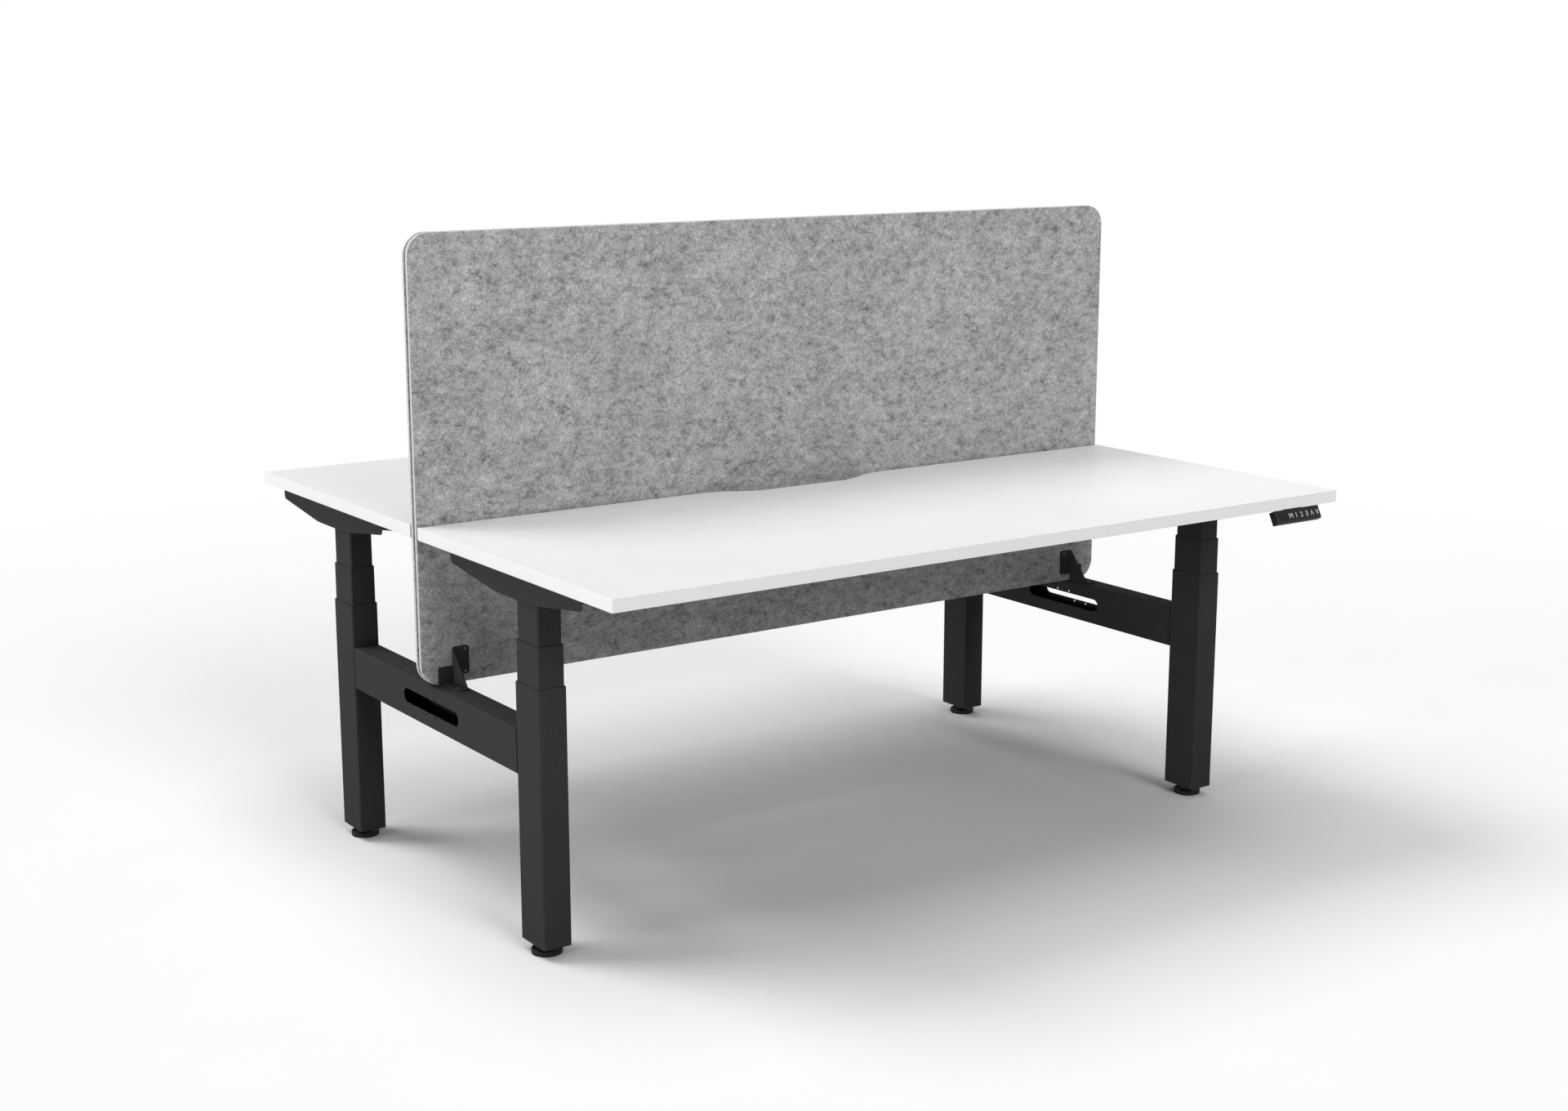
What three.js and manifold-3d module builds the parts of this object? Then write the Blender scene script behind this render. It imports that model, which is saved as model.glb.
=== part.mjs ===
// Benching desk for two: a pair of sit-stand desks, back to back, with a felt screen between them.
// Millimetres, +Z up. The origin is on the floor, at the middle of the bench. X runs along the screen,
// and -Y points to the user of the front desk.
import * as THREE from "three";
import { mergeVertices } from "three/addons/utils/BufferGeometryUtils.js";
import Module from "manifold-3d";

const wasm = await Module();
wasm.setup();

// Desktops
const DESK_LENGTH = 1800;
const DESK_DEPTH = 750;
const DESK_THICKNESS = 25;
const DESK_HEIGHT = 763; // top face above the floor, as photographed
const DESK_LOWEST = 630;
const DESK_HIGHEST = 1280;
const SCALLOP_MOUTH = 400;
const SCALLOP_FLOOR = 260;
const SCALLOP_DEPTH = 45;

// Felt screen
const SCREEN_HEIGHT = 900;
const PANEL_THICKNESS = 12;
const PANEL_CORNER = 45;
const PANEL_EDGE_ROUND = 3;
const SCREEN_CLEARANCE = 5; // from a screen face to the rear edge of a top

// Legs: three telescoping tubes each
const LEG_FROM_END = 52; // from the end of a top to the leg's centre
const LEG_FROM_FRONT = 355; // from the front edge of a top to the leg's centre
const OUTER_WIDTH = 60;
const OUTER_DEPTH = 90;
const OUTER_LENGTH = 506;
const TUBE_WALL = 1.8;
const TUBE_CORNER = 4;
const SLIDE_CLEARANCE = 0.7; // between one tube and the next
const MIDDLE_LIP = 13.5; // what shows of the middle tube at the lowest height
const BASE_PLATE = 6;
const MIDDLE_PLATE = 5;
const INNER_PLATE = 10; // drive nut in the foot of the inner tube
const STAGE_CLEARANCE = 16; // under the middle tube at the lowest height
const NUT_CLEARANCE = 5; // under the inner tube at the lowest height

// Levelling feet
const FOOT_DIAMETER = 60;
const FOOT_HEIGHT = 10;
const FOOT_CHAMFER = 1.5;
const FOOT_NUT_FLATS = 24;
const FOOT_NUT_HEIGHT = 12;
const STEM_DIAMETER = 10;
const STEM_REACH = 18; // above the bottom of the outer tube
const FOOT_SIDES = 24;

// Lifting drive inside each leg
const RUN_CLEARANCE = 0.3;
const ROUND_SIDES = 16;
const MOTOR_CLEARANCE = 3.2; // from the motor to the inner tube
const MOTOR_LENGTH = 90;
const GEARBOX_HEIGHT = 35;
const COLLAR_DIAMETER = 18;
const COLLAR_HEIGHT = 10.5;
const SHAFT_FLATS = 8;
const SHAFT_REACH = 19; // below the drive tube's hub at the greatest height
const SCREW_DIAMETER = 16;
const SCREW_BORE_CLEARANCE = 0.75;
const SCREW_TOP_CLEARANCE = 2; // under the drive tube's hub at the lowest height
const DRIVE_TUBE_WALL = 3.5;
const DRIVE_NUT_HEIGHT = 20;
const DRIVE_HUB_HEIGHT = 15;
const DRIVE_FLANGE_RIM = 4;
const DRIVE_FLANGE_HEIGHT = 5;

// Beams between the front and rear legs
const BEAM_WIDTH = 58;
const BEAM_HEIGHT = 90;
const BEAM_TOP = 436;
const BEAM_WALL = 2;
const BEAM_CORNER = 3;
const SLOT_LENGTH = 246;
const SLOT_HEIGHT = 30;
const SLOT_HOLE_DIAMETER = 5;
const SLOT_HOLE_SPACING = 40;
const SLOT_HOLE_SIDES = 10;

// Screen brackets
const BRACKET_SHEET = 3;
const BRACKET_INSET = 20; // from the leg's centre to the web, towards the middle of the bench
const PLATE_WIDTH = 36;
const PLATE_BOTTOM = 17; // above the beam
const PLATE_TOP = 75;
const WING_WIDTH = 35.5;
const WING_TOP = 37;
const BRACKET_CORNER = 5;
const WEB_FOOT = 64;
const WEB_HEAD = 4;
const FLANGE_WIDTH = 23;
const FLANGE_LENGTH = 68;

// Supports under the tops
const SUPPORT_SHEET = 2.5;
const SUPPORT_ROOM = 2.5; // between the inner tube and the sides of the channel
const SUPPORT_FROM_FRONT = 57; // from the rear top's front edge to the long arm
const SUPPORT_NEAR = 211; // from the leg's centre to the end of the short arm
const SUPPORT_FLAT_FAR = 115;
const SUPPORT_FLAT_NEAR = 27;
const SUPPORT_DEPTH = 53;
const SUPPORT_END_DEPTH = 28.5;
const SUPPORT_CORNER = 8;

// Crossbars
const CROSSBAR_DEPTH = 60;
const CROSSBAR_HEIGHT = 40;
const CROSSBAR_WALL = 2;
const CROSSBAR_CORNER = 3;

// Control boxes
const BOX_LENGTH = 260;
const BOX_DEPTH = 90;
const BOX_HEIGHT = 38;
const BOX_CORNER = 6;
const BOX_CHAMFER = 3;
const BOX_FROM_REAR = 130; // from the rear edge of the top
const EAR_LENGTH = 16;
const EAR_DEPTH = 40;
const EAR_HEIGHT = 3;
const EAR_HOLE_DIAMETER = 5;
const EAR_HOLE_SIDES = 10;
const SOCKET_DEPTH = 10;
const SOCKET_CORNER = 1;
const SOCKET_SPACING = 34;
const MOTOR_SOCKET_WIDTH = 16;
const HANDSET_SOCKET_WIDTH = 11;
const INLET_WIDTH = 28;
const SOCKET_HEIGHT = 12;
const INLET_HEIGHT = 20;

// Hand controls
const HANDSET_WIDTH = 134;
const HANDSET_FACE = 29;
const HANDSET_DEPTH = 15;
const HANDSET_TILT = THREE.MathUtils.degToRad(27);
const HANDSET_CHAMFER = 2.5;
const HANDSET_FROM_END = 54; // from the right end of the top
const HANDSET_SETBACK = 3.5; // behind the front edge of the top
const HANDSET_DROP = 1.5; // under the top
const NECK_WIDTH = 50;
const NECK_REACH = 50;
const NECK_SHEET = 4;
const KEY_PITCH = 16;
const KEY_FROM_END = 8;
const KEY_WIDTH = 13;
const KEY_HEIGHT = 17;
const KEY_THICKNESS = 3;
const KEY_CORNER = 1.5;
const KEY_CLEARANCE = 0.3;
const KEY_PROUD = 0.2;
const KEY_ROOM = 1; // behind a key, for its travel

// Derived levels
const DESK_BOTTOM = DESK_HEIGHT - DESK_THICKNESS;
const LOWERED = DESK_HEIGHT - DESK_LOWEST; // how far a top goes down from here
const RAISED = DESK_HIGHEST - DESK_HEIGHT; // how far a top goes up from here
const REAR_EDGE = PANEL_THICKNESS + SCREEN_CLEARANCE; // from the middle plane to a top's rear edge
const FRONT_EDGE = REAR_EDGE + DESK_DEPTH;
const LEG_X = DESK_LENGTH / 2 - LEG_FROM_END;
const LEG_Y = FRONT_EDGE - LEG_FROM_FRONT;
const TUBE_BOTTOM = FOOT_HEIGHT + FOOT_NUT_HEIGHT;
const OUTER_TOP = TUBE_BOTTOM + OUTER_LENGTH;
const TUBE_STEP = 2 * (TUBE_WALL + SLIDE_CLEARANCE);
const MIDDLE_BOTTOM = TUBE_BOTTOM + BASE_PLATE + STAGE_CLEARANCE + LOWERED / 2;
const MIDDLE_TOP = OUTER_TOP + MIDDLE_LIP + LOWERED / 2;
const INNER_BOTTOM = MIDDLE_BOTTOM + MIDDLE_PLATE + DRIVE_FLANGE_HEIGHT + NUT_CLEARANCE + LOWERED / 2;
const INNER_TOP = DESK_BOTTOM - SUPPORT_SHEET;
const MOTOR_BOTTOM = INNER_TOP - GEARBOX_HEIGHT - MOTOR_LENGTH - COLLAR_HEIGHT;
const SCREW_TOP = MIDDLE_BOTTOM + RAISED / 2 + DRIVE_NUT_HEIGHT;
const DRIVE_HUB_BOTTOM = SCREW_TOP + SCREW_TOP_CLEARANCE + LOWERED / 2;
const DRIVE_TUBE_TOP = DRIVE_HUB_BOTTOM + DRIVE_HUB_HEIGHT;
const SHAFT_BOTTOM = DRIVE_HUB_BOTTOM - RAISED / 2 - SHAFT_REACH;
const STEM_TOP = TUBE_BOTTOM + STEM_REACH;
const SHAFT_RADIUS = SHAFT_FLATS / Math.sqrt(3);
const SCREW_RADIUS = SCREW_DIAMETER / 2;
const SCREW_BORE = Math.max(SHAFT_RADIUS, STEM_DIAMETER / 2) + SCREW_BORE_CLEARANCE;
const DRIVE_TUBE_RADIUS = SCREW_RADIUS + RUN_CLEARANCE + DRIVE_TUBE_WALL;
const INNER_WIDTH = OUTER_WIDTH - 2 * TUBE_STEP;
const MOTOR_RADIUS = INNER_WIDTH / 2 - TUBE_WALL - MOTOR_CLEARANCE;
const SUPPORT_WIDTH = INNER_WIDTH + 2 * (SUPPORT_ROOM + SUPPORT_SHEET);
const SUPPORT_FAR = LEG_FROM_FRONT - SUPPORT_FROM_FRONT;

// Finishes
const finish = (color, roughness, metalness = 0) =>
  new THREE.MeshStandardMaterial({ color, roughness, metalness });
const POWDER_COAT = finish(0x262626, 0.55, 0.2);
const MELAMINE = finish(0xf4f4f2, 0.4);
const FELT = finish(0x9b9a97, 1);
const MOULDED = finish(0x1c1c1c, 0.5);
const RUBBER = finish(0x151515, 0.8);
const ZINC = finish(0xb4b6b8, 0.35, 0.9);
const MOTOR_CASE = finish(0x3a3a3c, 0.5, 0.6);

// Shapes

// A rectangle with round corners, about the middle.
function roundedRectangle(width, height, corner) {
  const [x, y] = [width / 2, height / 2];
  const shape = new THREE.Shape();
  shape.moveTo(x - corner, -y);
  shape.absarc(x - corner, corner - y, corner, -Math.PI / 2, 0);
  shape.absarc(x - corner, y - corner, corner, 0, Math.PI / 2);
  shape.absarc(corner - x, y - corner, corner, Math.PI / 2, Math.PI);
  shape.absarc(corner - x, corner - y, corner, Math.PI, Math.PI * 1.5);
  return shape;
}

// A closed outline through corners given as [x, y, radius], each rounded where it has a radius.
function roundedOutline(corners) {
  const shape = new THREE.Shape();
  const at = (i) => new THREE.Vector2(...corners.at(i % corners.length));
  corners.forEach(([, , radius = 0], i) => {
    const corner = at(i);
    const towards = (other) => corner.clone().add(other.sub(corner).setLength(radius));
    const [start, end] = [towards(at(i - 1)), towards(at(i + 1))];
    if (i) shape.lineTo(start.x, start.y);
    else shape.moveTo(start.x, start.y);
    if (radius) shape.quadraticCurveTo(corner.x, corner.y, end.x, end.y);
  });
  return shape;
}

// A prism of an XY outline between two heights.
function prismZ(shape, low, high, curveSegments = 2) {
  const options = { depth: high - low, bevelEnabled: false, curveSegments };
  return new THREE.ExtrudeGeometry(shape, options).translate(0, 0, low);
}

// A prism of a YZ outline between two places along X.
function prismX(shape, low, high, curveSegments = 2) {
  return prismZ(shape, low, high, curveSegments).rotateZ(Math.PI / 2).rotateY(Math.PI / 2);
}

// A prism of an XZ outline between two places along Y.
function prismY(shape, low, high, curveSegments = 2) {
  return prismZ(shape, -high, -low, curveSegments).rotateX(Math.PI / 2);
}

// A turned solid about Z, from [radius, height] pairs listed from the bottom up.
function turned(profile, sides = ROUND_SIDES) {
  const points = profile.map(([radius, height]) => new THREE.Vector2(radius, height));
  return new THREE.LatheGeometry(points, sides).rotateX(Math.PI / 2);
}

// A round bar about Z.
function bar(radius, low, high, sides = ROUND_SIDES) {
  return turned([[0, low], [radius, low], [radius, high], [0, high]], sides);
}

// A hexagonal bar about Z.
function hexBar(flats, low, high) {
  return bar(flats / Math.sqrt(3), low, high, 6);
}

// The radius of a faceted bore whose flats clear the corners of what turns in it.
function boreFor(radius) {
  return (radius + RUN_CLEARANCE) / Math.cos(Math.PI / ROUND_SIDES);
}

// Joining and cutting

function solid(geometry) {
  const bare = geometry.clone();
  bare.deleteAttribute("normal");
  bare.deleteAttribute("uv");
  const merged = mergeVertices(bare, 1e-4);
  const vertProperties = merged.attributes.position.array;
  const triVerts = new Uint32Array(merged.index.array);
  return new wasm.Manifold(new wasm.Mesh({ numProp: 3, vertProperties, triVerts }));
}

function geometryOf(body) {
  const { vertProperties, triVerts } = body.getMesh();
  const geometry = new THREE.BufferGeometry();
  geometry.setAttribute("position", new THREE.BufferAttribute(vertProperties, 3));
  geometry.setIndex(new THREE.BufferAttribute(triVerts, 1));
  geometry.computeVertexNormals();
  return geometry;
}

function join(...parts) {
  return geometryOf(parts.map(solid).reduce((whole, part) => whole.add(part)));
}

function cut(blank, ...tools) {
  return geometryOf(tools.map(solid).reduce((rest, tool) => rest.subtract(tool), solid(blank)));
}

const MARGIN = 1; // how far a cutting tool passes the face that it opens

function place(parent, name, geometry, material) {
  const mesh = new THREE.Mesh(geometry, material);
  mesh.name = name;
  parent.add(mesh);
  return mesh;
}

// Telescoping legs

function tubeSection(step, inset = 0) {
  const shrink = step * TUBE_STEP + 2 * inset;
  return roundedRectangle(OUTER_WIDTH - shrink, OUTER_DEPTH - shrink, Math.max(TUBE_CORNER - inset, 1));
}

// A tube with a closed foot: step 0 is the outer tube, 1 the middle one and 2 the inner one.
function footedTube(step, low, high, plate) {
  return cut(
    prismZ(tubeSection(step), low, high),
    prismZ(tubeSection(step, TUBE_WALL), low + plate, high + MARGIN),
  );
}

function outerTube() {
  const plateTop = TUBE_BOTTOM + BASE_PLATE;
  const tube = join(
    footedTube(0, TUBE_BOTTOM, OUTER_TOP, BASE_PLATE),
    bar(SCREW_RADIUS, plateTop - BASE_PLATE / 2, SCREW_TOP),
  );
  const stemBore = boreFor(STEM_DIAMETER / 2);
  return cut(
    tube,
    bar(stemBore, TUBE_BOTTOM - MARGIN, plateTop + MARGIN),
    bar(Math.max(SCREW_BORE, stemBore), plateTop, SCREW_TOP + MARGIN),
  );
}

function middleTube() {
  const tube = footedTube(1, MIDDLE_BOTTOM, MIDDLE_TOP, MIDDLE_PLATE);
  const plateTop = MIDDLE_BOTTOM + MIDDLE_PLATE;
  return cut(tube, bar(boreFor(DRIVE_TUBE_RADIUS), MIDDLE_BOTTOM - MARGIN, plateTop + MARGIN));
}

function innerTube() {
  const tube = footedTube(2, INNER_BOTTOM, INNER_TOP, INNER_PLATE);
  const plateTop = INNER_BOTTOM + INNER_PLATE;
  return cut(tube, bar(boreFor(DRIVE_TUBE_RADIUS), INNER_BOTTOM - MARGIN, plateTop + MARGIN));
}

function levellingFoot() {
  const radius = FOOT_DIAMETER / 2;
  const disc = turned(
    [
      [0, 0],
      [radius, 0],
      [radius, FOOT_HEIGHT - FOOT_CHAMFER],
      [radius - FOOT_CHAMFER, FOOT_HEIGHT],
      [0, FOOT_HEIGHT],
    ],
    FOOT_SIDES,
  );
  const nut = hexBar(FOOT_NUT_FLATS, FOOT_HEIGHT / 2, TUBE_BOTTOM);
  return join(disc, nut, bar(STEM_DIAMETER / 2, FOOT_HEIGHT, STEM_TOP));
}

function gearMotor() {
  const gearboxBottom = INNER_TOP - GEARBOX_HEIGHT;
  const motorBottom = gearboxBottom - MOTOR_LENGTH;
  const overlap = COLLAR_HEIGHT / 2;
  return join(
    prismZ(tubeSection(2, TUBE_WALL + RUN_CLEARANCE), gearboxBottom, INNER_TOP),
    bar(MOTOR_RADIUS, motorBottom, gearboxBottom + overlap),
    bar(COLLAR_DIAMETER / 2, MOTOR_BOTTOM, motorBottom + overlap),
  );
}

function driveShaft() {
  return hexBar(SHAFT_FLATS, SHAFT_BOTTOM, MOTOR_BOTTOM - RUN_CLEARANCE);
}

function driveTube() {
  const flangeBottom = MIDDLE_BOTTOM + MIDDLE_PLATE + RUN_CLEARANCE;
  const flangeTop = flangeBottom + DRIVE_FLANGE_HEIGHT - RUN_CLEARANCE;
  const flangeRadius = DRIVE_TUBE_RADIUS + DRIVE_FLANGE_RIM;
  const blank = turned([
    [0, MIDDLE_BOTTOM],
    [DRIVE_TUBE_RADIUS, MIDDLE_BOTTOM],
    [DRIVE_TUBE_RADIUS, flangeBottom],
    [flangeRadius, flangeBottom],
    [flangeRadius, flangeTop],
    [DRIVE_TUBE_RADIUS, flangeTop],
    [DRIVE_TUBE_RADIUS, DRIVE_TUBE_TOP],
    [0, DRIVE_TUBE_TOP],
  ]);
  const nutTop = MIDDLE_BOTTOM + DRIVE_NUT_HEIGHT;
  const nutBore = boreFor(SCREW_RADIUS);
  const bore = turned([
    [0, MIDDLE_BOTTOM - MARGIN],
    [nutBore, MIDDLE_BOTTOM - MARGIN],
    [nutBore, nutTop],
    [nutBore + DRIVE_TUBE_WALL / 3, nutTop],
    [nutBore + DRIVE_TUBE_WALL / 3, DRIVE_HUB_BOTTOM],
    [0, DRIVE_HUB_BOTTOM],
  ]);
  const hexFlats = SHAFT_FLATS + 2 * RUN_CLEARANCE;
  return cut(blank, bore, hexBar(hexFlats, DRIVE_HUB_BOTTOM - MARGIN, DRIVE_TUBE_TOP + MARGIN));
}

// Beams and screen

// The section of a box tube, hollow inside.
function boxSection(width, height, wall, corner) {
  const section = roundedRectangle(width, height, corner);
  const insideCorner = Math.max(corner - wall, wall / 2);
  section.holes.push(roundedRectangle(width - 2 * wall, height - 2 * wall, insideCorner));
  return section;
}

function beam() {
  const half = LEG_Y - OUTER_DEPTH / 2;
  const tube = prismY(boxSection(BEAM_WIDTH, BEAM_HEIGHT, BEAM_WALL, BEAM_CORNER), -half, half);
  const reach = BEAM_WIDTH / 2 + MARGIN;
  const holes = [];
  for (const y of [-1, 1])
    for (const z of [-1, 1]) {
      const hole = bar(SLOT_HOLE_DIAMETER / 2, -reach, reach, SLOT_HOLE_SIDES).rotateY(Math.PI / 2);
      holes.push(hole.translate(0, (y * SLOT_HOLE_SPACING) / 2, (z * SLOT_HOLE_SPACING) / 2));
    }
  const slot = prismX(roundedRectangle(SLOT_LENGTH, SLOT_HEIGHT, SLOT_HEIGHT / 2), -reach, reach, 4);
  return cut(tube, slot, ...holes).translate(0, 0, BEAM_TOP - BEAM_HEIGHT / 2);
}

// One felt layer, whose flat back lies on the middle plane and whose edge is rounded on both faces.
function screenPanel() {
  const round = PANEL_EDGE_ROUND;
  const shape = roundedRectangle(DESK_LENGTH - 2 * round, SCREEN_HEIGHT - 2 * round, PANEL_CORNER - round);
  const panel = new THREE.ExtrudeGeometry(shape, {
    depth: PANEL_THICKNESS - 2 * round,
    bevelThickness: round,
    bevelSize: round,
    bevelSegments: 2,
    curveSegments: 5,
  });
  return panel.rotateX(Math.PI / 2).translate(0, PANEL_THICKNESS - round, BEAM_TOP + SCREEN_HEIGHT / 2);
}

// A bracket for the right end and the rear face of the screen; the other three mirror it.
function screenBracket() {
  const web = LEG_X - BRACKET_INSET;
  const face = PANEL_THICKNESS;
  const [inner, outer] = [web + BRACKET_SHEET - PLATE_WIDTH, web + WING_WIDTH];
  const round = BRACKET_CORNER;
  const plate = roundedOutline([
    [inner, BEAM_TOP + PLATE_BOTTOM, round],
    [web, BEAM_TOP + PLATE_BOTTOM],
    [web, BEAM_TOP],
    [outer, BEAM_TOP],
    [outer, BEAM_TOP + WING_TOP, round],
    [web + BRACKET_SHEET, BEAM_TOP + WING_TOP, round],
    [web + BRACKET_SHEET, BEAM_TOP + PLATE_TOP, round],
    [inner, BEAM_TOP + PLATE_TOP, round],
  ]);
  const gusset = roundedOutline([
    [face, BEAM_TOP],
    [face + WEB_FOOT, BEAM_TOP],
    [face + WEB_HEAD, BEAM_TOP + PLATE_TOP - round],
    [face, BEAM_TOP + PLATE_TOP - round],
  ]);
  const flange = roundedOutline([
    [web, face],
    [web + FLANGE_WIDTH, face],
    [web + FLANGE_WIDTH, face + FLANGE_LENGTH, round],
    [web, face + FLANGE_LENGTH, round],
  ]);
  return join(
    prismY(plate, face, face + BRACKET_SHEET, 4),
    prismX(gusset, web, web + BRACKET_SHEET),
    prismZ(flange, BEAM_TOP, BEAM_TOP + BRACKET_SHEET, 4),
  );
}

// Tops and what they carry

function desktop() {
  const [end, front, rear] = [DESK_LENGTH / 2, -FRONT_EDGE, -REAR_EDGE];
  const [mouth, floor, deep] = [SCALLOP_MOUTH / 2, SCALLOP_FLOOR / 2, rear - SCALLOP_DEPTH];
  const middle = (mouth + floor) / 2;
  const outline = new THREE.Shape();
  outline.moveTo(-end, front);
  outline.lineTo(end, front);
  outline.lineTo(end, rear);
  outline.lineTo(mouth, rear);
  outline.bezierCurveTo(middle, rear, middle, deep, floor, deep);
  outline.lineTo(-floor, deep);
  outline.bezierCurveTo(-middle, deep, -middle, rear, -mouth, rear);
  outline.lineTo(-end, rear);
  return prismZ(outline, DESK_BOTTOM, DESK_HEIGHT, 10);
}

// An inverted channel, open at both ends and deepest over its leg, with the long arm towards +Y.
function support() {
  const top = DESK_BOTTOM;
  const [deep, shallow] = [top - SUPPORT_DEPTH, top - SUPPORT_END_DEPTH];
  const profile = roundedOutline([
    [-SUPPORT_NEAR, top],
    [-SUPPORT_NEAR, shallow, SUPPORT_CORNER],
    [-SUPPORT_FLAT_NEAR, deep, SUPPORT_CORNER],
    [SUPPORT_FLAT_FAR, deep, SUPPORT_CORNER],
    [SUPPORT_FAR, shallow, SUPPORT_CORNER],
    [SUPPORT_FAR, top],
  ]);
  const room = roundedOutline([
    [-SUPPORT_NEAR - MARGIN, deep - MARGIN],
    [SUPPORT_FAR + MARGIN, deep - MARGIN],
    [SUPPORT_FAR + MARGIN, top - SUPPORT_SHEET],
    [-SUPPORT_NEAR - MARGIN, top - SUPPORT_SHEET],
  ]);
  const half = SUPPORT_WIDTH / 2;
  return cut(prismX(profile, -half, half, 4), prismX(room, SUPPORT_SHEET - half, half - SUPPORT_SHEET));
}

function crossbar() {
  const section = boxSection(CROSSBAR_DEPTH, CROSSBAR_HEIGHT, CROSSBAR_WALL, CROSSBAR_CORNER);
  const half = LEG_X - SUPPORT_WIDTH / 2;
  return prismX(section, -half, half).translate(0, -LEG_Y, DESK_BOTTOM - CROSSBAR_HEIGHT / 2);
}

// A box with screw ears at both ends and a row of sockets on the side of the screen.
function controlBox() {
  const [length, depth] = [BOX_LENGTH - 2 * BOX_CHAMFER, BOX_DEPTH - 2 * BOX_CHAMFER];
  const hull = new THREE.ExtrudeGeometry(roundedRectangle(length, depth, BOX_CORNER), {
    depth: BOX_HEIGHT,
    bevelThickness: BOX_CHAMFER,
    bevelSize: BOX_CHAMFER,
    bevelSegments: 1,
    curveSegments: 2,
  });
  const cover = roundedRectangle(BOX_LENGTH + 2 * MARGIN, BOX_DEPTH + 2 * MARGIN, BOX_CORNER);
  const above = prismZ(cover, BOX_HEIGHT, BOX_HEIGHT + 2 * BOX_CHAMFER + MARGIN);
  const ears = prismZ(
    roundedRectangle(BOX_LENGTH + 2 * EAR_LENGTH, EAR_DEPTH, BOX_CORNER),
    BOX_HEIGHT - EAR_HEIGHT,
    BOX_HEIGHT,
  );
  const openings = [-1, 1].map((side) => {
    const hole = bar(EAR_HOLE_DIAMETER / 2, 0, BOX_HEIGHT + MARGIN, EAR_HOLE_SIDES);
    return hole.translate((side * (BOX_LENGTH + EAR_LENGTH)) / 2, 0, 0);
  });
  const sockets = [
    [MOTOR_SOCKET_WIDTH, SOCKET_HEIGHT],
    [MOTOR_SOCKET_WIDTH, SOCKET_HEIGHT],
    [HANDSET_SOCKET_WIDTH, SOCKET_HEIGHT],
    [INLET_WIDTH, INLET_HEIGHT],
  ];
  sockets.forEach(([width, height], i) => {
    const outline = roundedRectangle(width, height, SOCKET_CORNER);
    const pocket = prismY(outline, BOX_DEPTH / 2 - SOCKET_DEPTH, BOX_DEPTH / 2 + MARGIN, 1);
    openings.push(pocket.translate((i - (sockets.length - 1) / 2) * SOCKET_SPACING, 0, BOX_HEIGHT / 2));
  });
  const box = cut(join(cut(hull.translate(0, 0, BOX_CHAMFER), above), ears), ...openings);
  return box.translate(0, -REAR_EDGE - BOX_FROM_REAR - BOX_DEPTH / 2, DESK_BOTTOM - BOX_HEIGHT);
}

// Hand control: its frame has X along the face, Z up the face and the face at Y = 0

function handsetHousing(keyPlaces) {
  const chamfer = HANDSET_CHAMFER;
  const slab = roundedOutline([
    [0, 0],
    [0, chamfer - HANDSET_FACE],
    [chamfer, -HANDSET_FACE],
    [HANDSET_DEPTH, -HANDSET_FACE],
    [HANDSET_DEPTH, 0],
  ]);
  const half = HANDSET_WIDTH / 2;
  const body = prismX(slab, -half, half).rotateX(-HANDSET_TILT);
  const [back, low] = [HANDSET_DEPTH * Math.cos(HANDSET_TILT), -HANDSET_FACE / 3];
  const neck = roundedOutline([
    [back / 2, low],
    [back, low],
    [back + NECK_SHEET, HANDSET_DROP - NECK_SHEET],
    [NECK_REACH, HANDSET_DROP - NECK_SHEET],
    [NECK_REACH, HANDSET_DROP],
    [back / 2, HANDSET_DROP],
  ]);
  const pockets = keyPlaces.map((x) => {
    const [width, height] = [KEY_WIDTH + 2 * KEY_CLEARANCE, KEY_HEIGHT + 2 * KEY_CLEARANCE];
    const outline = roundedRectangle(width, height, KEY_CORNER);
    const pocket = prismY(outline, -MARGIN, KEY_THICKNESS - KEY_PROUD + KEY_ROOM, 1);
    return pocket.translate(x, 0, -HANDSET_FACE / 2).rotateX(-HANDSET_TILT);
  });
  return cut(join(body, prismX(neck, -NECK_WIDTH / 2, NECK_WIDTH / 2)), ...pockets);
}

function handsetKey(x) {
  const outline = roundedRectangle(KEY_WIDTH, KEY_HEIGHT, KEY_CORNER);
  const key = prismY(outline, -KEY_PROUD, KEY_THICKNESS - KEY_PROUD, 1);
  return key.translate(x, 0, -HANDSET_FACE / 2).rotateX(-HANDSET_TILT);
}

function addHandset(desk, side) {
  const names = ["memory", "one", "two", "three", "up", "down"];
  const last = HANDSET_WIDTH / 2 - KEY_FROM_END;
  const places = names.map((_, i) => last - (names.length - 1 - i) * KEY_PITCH);
  const handset = new THREE.Group();
  handset.position.set(
    DESK_LENGTH / 2 - HANDSET_FROM_END - HANDSET_WIDTH / 2,
    HANDSET_SETBACK - FRONT_EDGE,
    DESK_BOTTOM - HANDSET_DROP,
  );
  place(handset, `handset_${side}`, handsetHousing(places), MOULDED);
  names.forEach((name, i) => place(handset, `key_${name}_${side}`, handsetKey(places[i]), MOULDED));
  desk.add(handset);
}

// The bench

const bench = new THREE.Group();

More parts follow.
